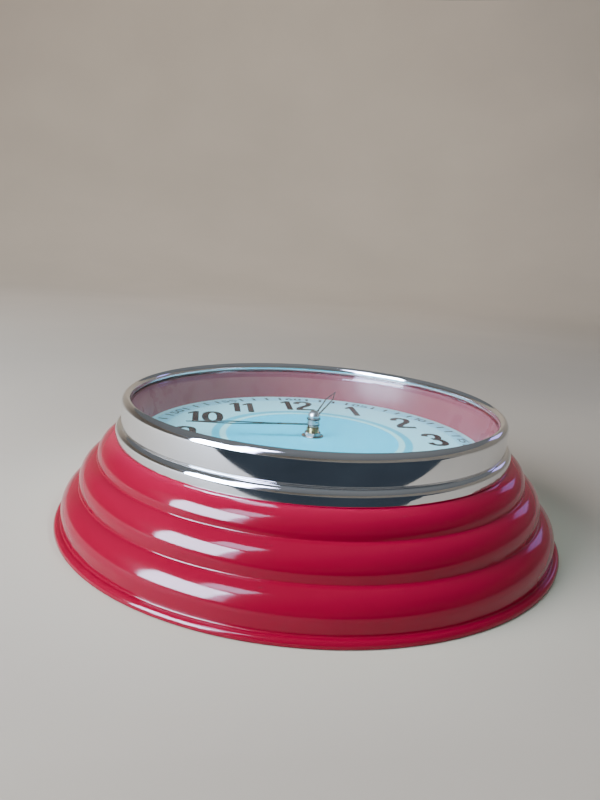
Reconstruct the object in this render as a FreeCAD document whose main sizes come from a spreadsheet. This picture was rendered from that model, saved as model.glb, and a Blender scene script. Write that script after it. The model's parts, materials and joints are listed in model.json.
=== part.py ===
import FreeCAD, Part
import math
import os
from types import SimpleNamespace

import Sketcher

# A 12 inch wall clock lying on its back. +Z is the dial's normal, +Y is 12 o'clock, and the origin is the
# centre of the back rim's plane. Lengths are in millimetres.

SIZES = {
    # stepped case: radius and height of each tier's foot, then the vertical wall before it rounds over
    "case_radius": 152.4,
    "flange_edge": 1.2,
    "tier_three_radius": 148.5,
    "tier_three_foot": 3.3,
    "tier_three_wall": 6.2,
    "tier_two_radius": 138.5,
    "tier_two_foot": 22.0,
    "tier_two_wall": 3.9,
    "tier_one_radius": 128.5,
    "tier_one_foot": 38.0,
    "tier_one_wall": 1.5,
    "seat_radius": 118.1,
    "seat_height": 50.1,
    "case_wall": 2.5,
    "inside_rise": 0.5,
    "tier_fillet": 0.8,
    "floor_under": 46.4,
    "floor_top": 48.9,
    "floor_reach": 121.0,
    "neck_radius": 113.4,
    "neck_bore": 111.2,
    "neck_top": 68.4,
    "centre_hole": 4.05,
    "rib_count": 12,
    "rib_turn": 15.0,
    "rib_width": 2.0,
    "rib_depth": 4.0,
    "rib_overlap": 0.5,
    "rib_start": 42.0,
    "rib_end": 120.0,
    # bezel, glass and dial
    "bezel_bore": 113.7,
    "band_radius": 118.7,
    "band_top": 54.8,
    "groove_radius": 115.2,
    "groove_height": 58.4,
    "bezel_radius": 115.5,
    "bezel_wall_top": 70.5,
    "bead_radius": 112.3,
    "bead_top": 74.8,
    "lip_radius": 109.8,
    "lip_under": 70.8,
    "lens_radius": 113.3,
    "lens_thickness": 2.0,
    "gasket_bore": 110.2,
    "dial_radius": 111.0,
    "dial_thickness": 0.8,
    "ring_foot_bore": 105.4,
    "ring_top_bore": 109.4,
    "ring_wall": 1.6,
    "ring_foot": 1.2,
    # bezel screws
    "bezel_screw_count": 6,
    "bezel_screw_circle": 115.9,
    "screw_head": 2.8,
    "screw_head_depth": 1.8,
    "screw_shank": 1.3,
    "screw_length": 9.6,
    "screw_hole": 1.6,
    "recess_reach": 1.5,
    "recess_width": 0.5,
    "recess_depth": 1.0,
    # hanger
    "hanger_width": 48.0,
    "hanger_height": 16.0,
    "hanger_centre": 130.3,
    "hanger_back": 2.0,
    "hanger_thickness": 1.5,
    "hanger_screw_offset": 18.0,
    "post_radius": 3.5,
    "post_top": 34.0,
    "hanger_screw_length": 12.0,
    "keyhole_radius": 4.5,
    "keyhole_drop": 3.3,
    "keyhole_slot": 2.2,
    "keyhole_rise": 5.2,
    # quartz movement
    "movement_size": 56.0,
    "movement_front": 45.6,
    "movement_back": 29.1,
    "movement_wall": 1.5,
    "bay_low": -26.9,
    "bay_high": -11.7,
    "chamber_low": -10.5,
    "boss_radius": 1.5,
    "boss_depth": 1.0,
    "pivot_radius": 0.45,
    "pivot_play": 0.05,
    "motion_stud": 0.75,
    "bush_radius": 3.95,
    "bush_bore": 2.56,
    "bush_top": 55.9,
    "washer_radius": 6.85,
    "washer_thickness": 0.5,
    "nut_flats": 9.6,
    "nut_depth": 2.2,
    "rubber_radius": 9.0,
    # gear train: tooth counts, distances between arbors and heights
    "leaf_count": 8,
    "rotor_wheel_teeth": 48,
    "seconds_teeth": 40,
    "third_teeth": 60,
    "centre_teeth": 64,
    "cannon_teeth": 12,
    "motion_teeth": 36,
    "motion_leaves": 10,
    "hour_teeth": 40,
    "set_teeth": 12,
    "rotor_distance": 6.16,
    "seconds_distance": 7.2,
    "third_distance": 10.8,
    "motion_distance": 8.4,
    "motion_angle": 60.0,
    "wheel_thickness": 0.8,
    "pinion_depth": 1.6,
    "intermediate_level": 35.3,
    "seconds_level": 36.7,
    "third_level": 38.1,
    "centre_level": 39.5,
    "motion_level": 40.8,
    "hour_level": 42.5,
    "hour_gear_depth": 1.0,
    "arbor_radius": 1.55,
    "arbor_play": 0.06,
    "arbor_bore": 0.52,
    "arbor_shoulder": 60.7,
    "thread_radius": 1.2,
    "thread_top": 63.2,
    "hour_tube_radius": 2.5,
    "hour_tube_top": 58.0,
    "rotor_magnet": 3.0,
    "stator_hole": 3.4,
    # hands, with the clock angle each one points to
    "hour_hand_level": 57.0,
    "hour_hand_thickness": 0.5,
    "hour_hand_hub": 4.15,
    "hour_collar_radius": 3.7,
    "hour_collar_gap": 0.5,
    "hour_hand_length": 78.0,
    "hour_hand_angle": 268.5,
    "minute_hand_thickness": 0.4,
    "minute_hand_hub": 4.35,
    "minute_hand_length": 86.0,
    "minute_hand_angle": 19.7,
    "cap_radius": 3.6,
    "cap_neck": 2.3,
    "cap_top": 66.2,
    # setting knob
    "knob_radius": 5.0,
    "knob_depth": 3.8,
    "knob_shaft": 1.2,
    "knob_gap": 0.5,
    "knob_grooves": 18,
    # battery, an AA cell
    "battery_radius": 7.25,
    "battery_length": 50.5,
    "battery_nub": 2.75,
    "battery_nub_length": 1.2,
    "battery_height": 36.7,
}

doc = FreeCAD.newDocument("WallClock")
sub_parts = []
UP = FreeCAD.Vector(0, 0, 1)


class Size:
    """A number together with the sheet expression that gives it."""

    def __init__(self, value, text):
        self.value = value
        self.text = text

    def joined(self, other, value, sign):
        return Size(value, f"({self.text} {sign} {other.text})")

    def __add__(self, other):
        other = as_size(other)
        return self.joined(other, self.value + other.value, "+")

    def __sub__(self, other):
        other = as_size(other)
        return self.joined(other, self.value - other.value, "-")

    def __mul__(self, other):
        other = as_size(other)
        return self.joined(other, self.value * other.value, "*")

    def __truediv__(self, other):
        other = as_size(other)
        return self.joined(other, self.value / other.value, "/")

    def __neg__(self):
        return as_size(0) - self

    def __radd__(self, other):
        return as_size(other) + self

    def __rsub__(self, other):
        return as_size(other) - self

    def __rmul__(self, other):
        return as_size(other) * self


def as_size(number):
    if isinstance(number, Size):
        return number
    text = f"{number:.9g}"
    if number < 0:
        text = f"({text})"
    return Size(float(number), text)


def make_sheet():
    sheet = doc.addObject("Spreadsheet::Sheet", "Sizes")
    for row, (name, value) in enumerate(SIZES.items(), start=1):
        sheet.set(f"A{row}", name)
        sheet.set(f"B{row}", str(value))
        sheet.setAlias(f"B{row}", name)
    doc.recompute()
    return SimpleNamespace(**{name: Size(value, f"Sizes.{name}") for name, value in SIZES.items()})


S = make_sheet()
BACK_FACE = S.movement_back + S.movement_wall
FRONT_FACE = S.movement_front - S.movement_wall
DIAL_TOP = S.floor_top + S.dial_thickness
PIVOT_HOLE = S.pivot_radius + S.pivot_play
PIVOT_LOW = BACK_FACE - 0.5
MOTION_TURN = math.radians(S.motion_angle.value)
MOTION_X = S.motion_distance * math.cos(MOTION_TURN)
MOTION_Y = S.motion_distance * math.sin(MOTION_TURN)
ROTOR_X = S.seconds_distance + S.rotor_distance


# ---- drawing helpers ----

def bind(feature, name, size):
    """Set a numeric property, and tie it to the sheet where its size comes from there."""
    size = as_size(size)
    if "." not in name:
        setattr(feature, name, size.value)
    if "Sizes." in size.text:
        feature.setExpression(name, size.text)


def new_body(label, x=0, y=0, turn=0):
    body = doc.addObject("PartDesign::Body", label)
    body.Label = label
    x, y, turn = as_size(x), as_size(y), as_size(turn)
    place = FreeCAD.Vector(x.value, y.value, 0)
    body.Placement = FreeCAD.Placement(place, FreeCAD.Rotation(UP, turn.value))
    bind(body, "Placement.Base.x", x)
    bind(body, "Placement.Base.y", y)
    sub_parts.append(body)
    return body


def new_sketch(body, plane, lift=0, turn=0):
    sketch = body.newObject("Sketcher::SketchObject", "Sketch")
    face = next(item for item in body.Origin.OriginFeatures if item.Role == plane)
    sketch.AttachmentSupport = [(face, "")]
    sketch.MapMode = "FlatFace"
    lift = as_size(lift)
    sketch.AttachmentOffset = FreeCAD.Placement(FreeCAD.Vector(0, 0, lift.value), FreeCAD.Rotation(UP, turn))
    bind(sketch, "AttachmentOffset.Base.z", lift)
    return sketch


def flat(body, lift, turn=0):
    """A sketch parallel to the dial at a height."""
    return new_sketch(body, "XY_Plane", lift, turn)


def measure(sketch, kind, ends, size):
    """Add a length constraint; ends lists the point or points it measures between."""
    index = sketch.addConstraint(Sketcher.Constraint(kind, *ends, size.value))
    if "Sizes." in size.text:
        sketch.setExpression(f"Constraints[{index}]", size.text)


def fix_along(sketch, kind, axis, point, size):
    """Hold one coordinate of a point at its distance from the sketch's origin."""
    size = as_size(size)
    if abs(size.value) < 1e-9:
        sketch.addConstraint(Sketcher.Constraint("PointOnObject", *point, axis))
    elif size.value > 0:
        measure(sketch, kind, (-1, 1) + point, size)
    else:
        measure(sketch, kind, point + (-1, 1), -size)


def fix_point(sketch, point, x, y):
    fix_along(sketch, "DistanceX", -2, point, x)
    fix_along(sketch, "DistanceY", -1, point, y)


def arc_between(begin, end, radius):
    """The short arc from begin to end, turning left for a positive radius and right for a negative one."""
    chord = end - begin
    rise = math.sqrt(max(radius * radius - chord.Length * chord.Length / 4, 0))
    side = FreeCAD.Vector(-chord.y, chord.x, 0).normalize() * math.copysign(rise, radius)
    centre = (begin + end) * 0.5 + side
    angles = [math.atan2(point.y - centre.y, point.x - centre.x) for point in (begin, end)]
    if radius < 0:
        angles.reverse()
    return Part.ArcOfCircle(Part.Circle(centre, UP, abs(radius)), *angles)


def outline(sketch, corners):
    """A closed outline. A corner (x, y, r) starts an arc of radius r to the next corner."""
    points = [FreeCAD.Vector(as_size(corner[0]).value, as_size(corner[1]).value, 0) for corner in corners]
    edges = []
    for index, corner in enumerate(corners):
        begin, end = points[index], points[(index + 1) % len(points)]
        if len(corner) == 2:
            edges.append((sketch.addGeometry(Part.LineSegment(begin, end)), 1, 2))
            continue
        radius = as_size(corner[2])
        edge = sketch.addGeometry(arc_between(begin, end, radius.value))
        edges.append((edge, 1, 2) if radius.value > 0 else (edge, 2, 1))
    for index, (edge, first, last) in enumerate(edges):
        following = edges[(index + 1) % len(edges)]
        sketch.addConstraint(Sketcher.Constraint("Coincident", edge, last, following[0], following[1]))
        fix_point(sketch, (edge, first), corners[index][0], corners[index][1])
        if len(corners[index]) == 3:
            radius = as_size(corners[index][2])
            measure(sketch, "Radius", (edge,), radius if radius.value > 0 else -radius)


def rectangle(sketch, x_low, x_high, y_low, y_high):
    outline(sketch, [(x_low, y_low), (x_high, y_low), (x_high, y_high), (x_low, y_high)])


def circle(sketch, radius, x=0, y=0):
    x, y, radius = as_size(x), as_size(y), as_size(radius)
    centre = FreeCAD.Vector(x.value, y.value, 0)
    edge = sketch.addGeometry(Part.Circle(centre, UP, radius.value))
    fix_point(sketch, (edge, 3), x, y)
    measure(sketch, "Radius", (edge,), radius)


def pad(body, sketch, length):
    feature = body.newObject("PartDesign::Pad", "Pad")
    feature.Profile = sketch
    bind(feature, "Length", length)
    return feature


def cut(body, sketch, depth):
    """Cut from the sketch's plane towards the dial, and make sure that it removes something."""
    doc.recompute()
    before = body.Shape.Volume
    feature = body.newObject("PartDesign::Pocket", "Pocket")
    feature.Profile = sketch
    feature.Reversed = True
    bind(feature, "Length", depth)
    doc.recompute()
    if body.Shape.Volume > before - 1e-4:
        raise RuntimeError(f"a pocket of {body.Label} removed nothing")
    return feature


def revolve(body, corners, axis="V_Axis"):
    sketch = new_sketch(body, "XZ_Plane")
    outline(sketch, corners)
    feature = body.newObject("PartDesign::Revolution", "Revolution")
    feature.Profile = sketch
    feature.ReferenceAxis = (sketch, [axis])
    feature.Angle = 360
    return feature


def repeat_round(body, features, sketch, count):
    """Repeat features about the sketch's normal through the body's origin."""
    pattern = body.newObject("PartDesign::PolarPattern", "PolarPattern")
    pattern.Originals = features
    pattern.Axis = (sketch, ["N_Axis"])
    pattern.Angle = 360
    bind(pattern, "Occurrences", count)
    body.Tip = pattern
    return pattern


def ring(body, low, high, outer, bore=None, x=0, y=0):
    """A round pad between two heights, with an optional bore."""
    sketch = flat(body, low)
    circle(sketch, outer, x, y)
    if bore is not None:
        circle(sketch, bore, x, y)
    return pad(body, sketch, high - low)


# ---- gear helpers ----

def tooth_module(distance, teeth, mate):
    return 2 * distance / (teeth + mate)


def mate_phase(phase, teeth, direction, mate):
    """The angle of a mating wheel's tooth, so that one of its gaps faces the first wheel's tooth."""
    lead = (phase - direction) * teeth.value / mate.value
    return direction + 180 + 180 / mate.value - lead


def gear(body, teeth, module, low, depth, phase=0, bore=None):
    """Straight-flanked teeth, thinner than half the pitch, on a plain disc."""
    pitch_radius = teeth * module / 2
    root = pitch_radius - 1.3 * module
    ring(body, low, low + depth, root, bore)
    sketch = flat(body, low, phase)
    heel = root - 0.3 * module
    tip = pitch_radius + 0.85 * module
    heel_half = 0.75 * module
    tip_half = 0.3 * module
    outline(sketch, [(heel, -heel_half), (tip, -tip_half), (tip, tip_half), (heel, heel_half)])
    tooth = pad(body, sketch, depth)
    return repeat_round(body, [tooth], sketch, teeth)


# ---- case, bezel, glass and dial ----

def round_over(step, rise):
    """The radius of an arc that starts upright and ends step further in and rise further up."""
    return (rise * rise + step * step) / (2 * step)


def case_section():
    """The case's section: the stepped outside, the neck inside the bezel, then the inside face."""
    tiers = [
        (S.case_radius, as_size(0), S.flange_edge),
        (S.tier_three_radius, S.tier_three_foot, S.tier_three_wall),
        (S.tier_two_radius, S.tier_two_foot, S.tier_two_wall),
        (S.tier_one_radius, S.tier_one_foot, S.tier_one_wall),
        (S.seat_radius, S.seat_height, None),
    ]
    corners = []
    for (radius, foot, wall), (next_radius, next_foot, _) in zip(tiers, tiers[1:]):
        bend = round_over(radius - next_radius, next_foot - foot - wall)
        corners += [(radius, foot), (radius, foot + wall, bend)]
    corners += [
        (S.seat_radius, S.seat_height),
        (S.neck_radius, S.seat_height),
        (S.neck_radius, S.neck_top),
        (S.neck_bore, S.neck_top),
        (S.neck_bore, S.floor_top),
        (S.centre_hole, S.floor_top),
        (S.centre_hole, S.floor_under),
    ]
    inside_one = S.tier_one_radius - S.case_wall
    inside_two = S.tier_two_radius - S.case_wall
    inside_three = S.tier_three_radius - S.case_wall
    step_two = inside_two - inside_one
    step_three = inside_three - inside_two
    level_one = S.tier_one_foot + S.inside_rise
    level_two = S.tier_two_foot + S.tier_two_wall
    level_three = S.tier_three_foot + S.tier_three_wall
    foot_one = S.tier_one_foot - S.case_wall
    foot_two = S.tier_two_foot - S.case_wall
    corners += [
        (S.floor_reach, S.floor_under, -round_over(inside_one - S.floor_reach, S.floor_under - level_one)),
        (inside_one, level_one),
        (inside_one, foot_one, -round_over(step_two, foot_one - level_two)),
        (inside_two, level_two),
        (inside_two, foot_two, -round_over(step_three, foot_two - level_three)),
        (inside_three, level_three),
        (inside_three, 0),
    ]
    return corners


def soften_tier_feet(body):
    """Round the inner corner where each tier meets the one below it."""
    feet = [(S.tier_three_radius, S.tier_three_foot), (S.tier_two_radius, S.tier_two_foot),
            (S.tier_one_radius, S.tier_one_foot)]
    doc.recompute()
    base = body.Tip
    names = []
    for index, edge in enumerate(body.Shape.Edges, start=1):
        if not isinstance(edge.Curve, Part.Circle):
            continue
        centre = edge.Curve.Center
        for radius, height in feet:
            if abs(edge.Curve.Radius - radius.value) < 0.01 and abs(centre.z - height.value) < 0.01:
                names.append(f"Edge{index}")
    fillet = body.newObject("PartDesign::Fillet", "Fillet")
    fillet.Base = (base, names)
    bind(fillet, "Radius", S.tier_fillet)


def make_case_shell():
    body = new_body("case_shell")
    revolve(body, case_section())
    soften_tier_feet(body)
    sketch = flat(body, S.floor_under - S.rib_depth, S.rib_turn.value)
    rectangle(sketch, S.rib_start, S.rib_end, -S.rib_width / 2, S.rib_width / 2)
    rib = pad(body, sketch, S.rib_depth + S.rib_overlap)
    repeat_round(body, [rib], sketch, S.rib_count)
    top = S.hanger_back + S.hanger_thickness
    for side in (-1, 1):
        ring(body, top, S.post_top, S.post_radius, None, side * S.hanger_screw_offset, S.hanger_centre)
    sketch = flat(body, top)
    for side in (-1, 1):
        circle(sketch, S.screw_shank, side * S.hanger_screw_offset, S.hanger_centre)
    cut(body, sketch, S.hanger_screw_length - S.hanger_thickness)
    sketch = flat(body, S.floor_under)
    circle(sketch, S.screw_hole, S.bezel_screw_circle, 0)
    hole = cut(body, sketch, S.seat_height - S.floor_under)
    repeat_round(body, [hole], sketch, S.bezel_screw_count)


def make_bezel():
    body = new_body("bezel")
    foot_inset, foot_radius, foot_rise = 0.6, 1.0, 0.8
    foot = S.seat_height + foot_rise
    groove_low = S.groove_height - 0.2
    groove_edge = S.groove_radius + 1.0
    groove_high = S.groove_height + 0.5
    wall_low = S.groove_height + 0.9
    rim_radius, rim_edge = 3.3, 0.3
    revolve(body, [
        (S.bezel_bore, S.seat_height),
        (S.band_radius - foot_inset, S.seat_height, foot_radius),
        (S.band_radius, foot),
        (S.band_radius, S.band_top, round_over(S.band_radius - groove_edge, groove_low - S.band_top)),
        (groove_edge, groove_low),
        (S.groove_radius, S.groove_height),
        (S.groove_radius, groove_high),
        (S.bezel_radius, wall_low),
        (S.bezel_radius, S.bezel_wall_top,
         round_over(S.bezel_radius - S.bead_radius, S.bead_top - S.bezel_wall_top)),
        (S.bead_radius, S.bead_top, rim_radius),
        (S.lip_radius, S.lip_under + rim_edge),
        (S.lip_radius, S.lip_under),
        (S.bezel_bore, S.lip_under),
    ])
    sketch = flat(body, S.seat_height)
    circle(sketch, S.screw_shank, S.bezel_screw_circle, 0)
    hole = cut(body, sketch, S.screw_length - S.seat_height + S.floor_under)
    repeat_round(body, [hole], sketch, S.bezel_screw_count)


def make_lens():
    body = new_body("lens")
    ring(body, S.neck_top, S.neck_top + S.lens_thickness, S.lens_radius)


def make_lens_gasket():
    body = new_body("lens_gasket")
    ring(body, S.neck_top + S.lens_thickness, S.lip_under, S.lens_radius, S.gasket_bore)


def make_dial_ring():
    body = new_body("dial_ring")
    revolve(body, [
        (S.ring_foot_bore, DIAL_TOP),
        (S.dial_radius, DIAL_TOP),
        (S.dial_radius, DIAL_TOP + S.ring_foot),
        (S.ring_foot_bore + S.ring_wall + 0.2, DIAL_TOP + S.ring_foot),
        (S.ring_top_bore + S.ring_wall, S.neck_top),
        (S.ring_top_bore, S.neck_top),
    ])


def make_dial_plate():
    body = new_body("dial_plate")
    ring(body, S.floor_top, DIAL_TOP, S.dial_radius, S.centre_hole)


def screw_features(body, x, y, head_low, length):
    """A pan head with a cross recess, and its shank towards the dial."""
    head_top = head_low + S.screw_head_depth
    head = ring(body, head_low, head_top, S.screw_head, None, x, y)
    shank = ring(body, head_top, head_top + length, S.screw_shank, None, x, y)
    reach, half = S.recess_reach, S.recess_width / 2
    sketch = flat(body, head_low)
    corners = [(reach, -half), (reach, half), (half, half), (half, reach), (-half, reach), (-half, half),
               (-reach, half), (-reach, -half), (-half, -half), (-half, -reach), (half, -reach), (half, -half)]
    outline(sketch, [(x + dx, y + dy) for dx, dy in corners])
    recess = cut(body, sketch, S.recess_depth)
    return [head, shank, recess], sketch


def make_bezel_screws():
    body = new_body("bezel_screws")
    body.AllowCompound = True
    low = S.floor_under - S.screw_head_depth
    features, sketch = screw_features(body, S.bezel_screw_circle, as_size(0), low, S.screw_length)
    repeat_round(body, features, sketch, S.bezel_screw_count)


# ---- hanger ----

def make_hanger_plate():
    body = new_body("hanger_plate")
    half = S.hanger_width / 2
    low = S.hanger_centre - S.hanger_height / 2
    high = S.hanger_centre + S.hanger_height / 2
    sketch = flat(body, S.hanger_back)
    rectangle(sketch, -half, half, low, high)
    for side in (-1, 1):
        circle(sketch, S.screw_hole, side * S.hanger_screw_offset, S.hanger_centre)
    pad(body, sketch, S.hanger_thickness)
    entry = S.hanger_centre - S.keyhole_drop
    slot_end = S.hanger_centre + S.keyhole_rise - S.keyhole_slot
    sketch = flat(body, S.hanger_back)
    circle(sketch, S.keyhole_radius, 0, entry)
    cut(body, sketch, S.hanger_thickness)
    sketch = flat(body, S.hanger_back)
    outline(sketch, [(-S.keyhole_slot, entry), (S.keyhole_slot, entry), (S.keyhole_slot, slot_end),
                     (-S.keyhole_slot, slot_end)])
    cut(body, sketch, S.hanger_thickness)
    sketch = flat(body, S.hanger_back)
    circle(sketch, S.keyhole_slot, 0, slot_end)
    cut(body, sketch, S.hanger_thickness)


def make_hanger_screws():
    body = new_body("hanger_screws")
    body.AllowCompound = True
    low = S.hanger_back - S.screw_head_depth
    for side in (-1, 1):
        screw_features(body, side * S.hanger_screw_offset, S.hanger_centre, low, S.hanger_screw_length)


# ---- movement housing ----

def make_movement_case():
    body = new_body("movement_case")
    half = S.movement_size / 2
    inner = half - S.movement_wall
    sketch = flat(body, S.movement_back)
    rectangle(sketch, -half, half, -half, half)
    pad(body, sketch, S.movement_front - S.movement_back)
    depth = FRONT_FACE - S.movement_back
    for low, high in ((S.bay_low, S.bay_high), (S.chamber_low, inner)):
        sketch = flat(body, S.movement_back)
        rectangle(sketch, -inner, inner, low, high)
        cut(body, sketch, depth)
    sketch = flat(body, S.movement_back)
    rectangle(sketch, -half, half, (S.bay_high + S.chamber_low) / 2, half)
    cut(body, sketch, S.movement_wall)
    sketch = flat(body, FRONT_FACE)
    circle(sketch, S.bush_radius)
    cut(body, sketch, S.movement_wall)
    ring(body, S.motion_level - 0.2, FRONT_FACE, S.motion_stud, None, MOTION_X, MOTION_Y)
    for x, y in ((-S.third_distance, 0), (2 * MOTION_X, 2 * MOTION_Y)):
        ring(body, FRONT_FACE - S.boss_depth, FRONT_FACE, S.boss_radius, PIVOT_HOLE, x, y)


def make_movement_cover():
    body = new_body("movement_cover")
    half = S.movement_size / 2
    edge = (S.bay_high + S.chamber_low) / 2 + 0.1
    sketch = flat(body, S.movement_back)
    rectangle(sketch, -half, half, edge, half)
    circle(sketch, S.knob_shaft + S.arbor_play, 2 * MOTION_X, 2 * MOTION_Y)
    pad(body, sketch, S.movement_wall)
    arbors = [(-S.third_distance, 0), (0, 0), (S.seconds_distance, 0), (ROTOR_X, 0)]
    for x, y in arbors:
        ring(body, BACK_FACE, BACK_FACE + S.boss_depth / 2, S.boss_radius, None, x, y)
    sketch = flat(body, PIVOT_LOW - S.pivot_play)
    for x, y in arbors:
        circle(sketch, PIVOT_HOLE, x, y)
    cut(body, sketch, S.boss_depth + 0.5)


def make_train_bridge():
    body = new_body("train_bridge")
    bridge_start, bridge_end, bridge_half, bridge_thickness = 3.2, 18.8, 9.2, 1.0
    post_x, post_y, post_radius = 17.5, 8.0, 1.2
    sketch = flat(body, S.third_level)
    rectangle(sketch, bridge_start, bridge_end, -bridge_half, bridge_half)
    circle(sketch, PIVOT_HOLE, S.seconds_distance, 0)
    circle(sketch, PIVOT_HOLE, ROTOR_X, 0)
    pad(body, sketch, bridge_thickness)
    for side in (-1, 1):
        ring(body, S.third_level + bridge_thickness, FRONT_FACE, post_radius, None, post_x, side * post_y)


def make_threaded_bush():
    body = new_body("threaded_bush")
    revolve(body, [
        (S.bush_bore, FRONT_FACE),
        (S.bush_radius, FRONT_FACE),
        (S.bush_radius, S.bush_top - 0.4),
        (S.bush_radius - 0.4, S.bush_top),
        (S.bush_bore, S.bush_top),
    ])


def make_washers_and_nut():
    body = new_body("rubber_washer")
    ring(body, S.movement_front, S.floor_under, S.rubber_radius, S.centre_hole)
    body = new_body("clamp_washer")
    ring(body, DIAL_TOP, DIAL_TOP + S.washer_thickness, S.washer_radius, S.centre_hole)
    body = new_body("clamp_nut")
    sketch = flat(body, DIAL_TOP + S.washer_thickness)
    across = S.nut_flats / math.sqrt(3)
    angles = [math.radians(60 * corner + 30) for corner in range(6)]
    outline(sketch, [(across * round(math.cos(turn), 9), across * round(math.sin(turn), 9)) for turn in angles])
    circle(sketch, S.bush_radius)
    pad(body, sketch, S.nut_depth)


# ---- battery and electrics ----

def make_battery():
    body = new_body("battery")
    middle = (S.bay_low + S.bay_high) / 2
    body.Placement.Base = FreeCAD.Vector(0, middle.value, S.battery_height.value)
    bind(body, "Placement.Base.y", middle)
    bind(body, "Placement.Base.z", S.battery_height)
    half = S.battery_length / 2
    shoulder = half - S.battery_nub_length
    bevel = 0.6
    revolve(body, [
        (-half, 0),
        (half, 0),
        (half, S.battery_nub),
        (shoulder, S.battery_nub),
        (shoulder, S.battery_radius - bevel, bevel),
        (shoulder - bevel, S.battery_radius),
        (-half + bevel, S.battery_radius, bevel),
        (-half, S.battery_radius - bevel),
    ], "H_Axis")


def make_box(name, low, high):
    """A Part box between two corners, each a list of three sizes."""
    box = doc.addObject("Part::Box", name)
    low = [as_size(number) for number in low]
    high = [as_size(number) for number in high]
    for prop, start, end in zip(("Length", "Width", "Height"), low, high):
        bind(box, prop, end - start)
    box.Placement.Base = FreeCAD.Vector(*[number.value for number in low])
    for axis, number in zip("xyz", low):
        bind(box, f"Placement.Base.{axis}", number)
    return box


def make_rod(name, radius, length, start, direction):
    rod = doc.addObject("Part::Cylinder", name)
    bind(rod, "Radius", radius)
    bind(rod, "Height", length)
    turn = FreeCAD.Rotation(UP, FreeCAD.Vector(*direction))
    rod.Placement = FreeCAD.Placement(FreeCAD.Vector(*start), turn)
    return rod


def join(label, shapes):
    fused = doc.addObject("Part::MultiFuse", label)
    fused.Label = label
    fused.Shapes = shapes
    sub_parts.append(fused)
    return fused


def subtract(label, base, tool):
    remainder = doc.addObject("Part::Cut", label)
    remainder.Label = label
    remainder.Base = base
    remainder.Tool = tool
    return remainder


def make_contacts():
    """Flat strips on the bay's end walls, each with a raised dimple that meets the cell."""
    middle = (S.bay_low + S.bay_high) / 2
    half = S.battery_length / 2
    inner = S.movement_size / 2 - S.movement_wall
    strip, dimple_radius = 0.4, 1.6
    half_width, strip_low, strip_high = 4.5, 31.5, 42.5
    dimple = inner - strip - half
    for label, side in (("positive_contact", 1), ("negative_contact", -1)):
        ends = sorted([side * (inner - strip), side * inner], key=lambda size: size.value)
        plate = make_box(label + "_plate", [ends[0], middle - half_width, strip_low],
                         [ends[1], middle + half_width, strip_high])
        start = (side * half.value, middle.value, S.battery_height.value)
        bump = make_rod(label + "_dimple", dimple_radius, dimple + 0.1, start, (side, 0, 0))
        join(label, [plate, bump])


def make_circuit_board():
    body = new_body("circuit_board")
    board_low, board_top = 32.0, 33.0
    chip_radius, chip_x, chip_y, chip_height = 2.6, -9.0, 17.0, 0.8
    joint_radius, joint_x, joint_y, joint_pitch, joint_height = 0.6, -24.0, 14.5, 2.5, 0.4
    sketch = flat(body, board_low)
    rectangle(sketch, -26.0, -3.0, 12.5, 26.0)
    pad(body, sketch, board_top - board_low)
    ring(body, as_size(board_top), as_size(board_top + chip_height), chip_radius, None, chip_x, chip_y)
    for column in range(4):
        x = joint_x + joint_pitch * column
        ring(body, as_size(board_top), as_size(board_top + joint_height), joint_radius, None, x, joint_y)


def make_quartz_crystal():
    """A tuning-fork crystal: a small can with two leads, lying on the board."""
    can_radius, can_length, lead_radius, lead_length, lead_offset = 1.0, 6.0, 0.15, 3.0, 0.35
    x, y, z = -21.0, 22.0, 34.1
    along = (1, 0, 0)
    can = make_rod("crystal_can", can_radius, can_length, (x, y, z), along)
    shapes = [can]
    for side in (-1, 1):
        start = (x + can_length - 0.1, y + side * lead_offset, z)
        shapes.append(make_rod("crystal_lead", lead_radius, lead_length, start, along))
    join("quartz_crystal", shapes)


def make_stator():
    body = new_body("stator")
    stator_low, stator_thickness = 32.6, 1.0
    left, right, low, high = 9.4, 24.0, -9.4, 15.0
    window_left, window_right, window_low, window_high = 17.4, 21.6, -7.0, 12.6
    sketch = flat(body, stator_low)
    outline(sketch, [(left, low), (right, low), (right, high), (12.0, high), (left, 9.0)])
    rectangle(sketch, window_left, window_right, window_low, window_high)
    circle(sketch, S.stator_hole, ROTOR_X, 0)
    pad(body, sketch, stator_thickness)


def make_coil():
    """The bobbin and its winding round the stator's straight limb."""
    across, level, play = 22.8, 33.1, 0.1
    y_low, y_high, cheek = -6.2, 11.8, 0.8
    tube_x, tube_z = 1.9, 1.2
    cheek_x, cheek_z = 3.2, 2.3
    wind_x, wind_z = 2.9, 2.0

    def block(name, half_x, half_z, low, high):
        return make_box(name, [across - half_x, low, level - half_z], [across + half_x, high, level + half_z])

    slot = block("bobbin_slot", 1.2 + play, 0.5 + play, y_low - 1, y_high + 1)
    walls = [
        block("bobbin_tube", tube_x, tube_z, y_low, y_high),
        block("bobbin_cheek", cheek_x, cheek_z, y_low, y_low + cheek),
        block("bobbin_cheek", cheek_x, cheek_z, y_high - cheek, y_high),
    ]
    solid = doc.addObject("Part::MultiFuse", "bobbin_solid")
    solid.Shapes = walls
    sub_parts.append(subtract("coil_bobbin", solid, slot))
    wire = block("winding_wire", wind_x, wind_z, y_low + cheek, y_high - cheek)
    core = block("winding_core", tube_x, tube_z, y_low, y_high)
    sub_parts.append(subtract("coil_winding", wire, core))


# ---- gear train ----

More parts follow.
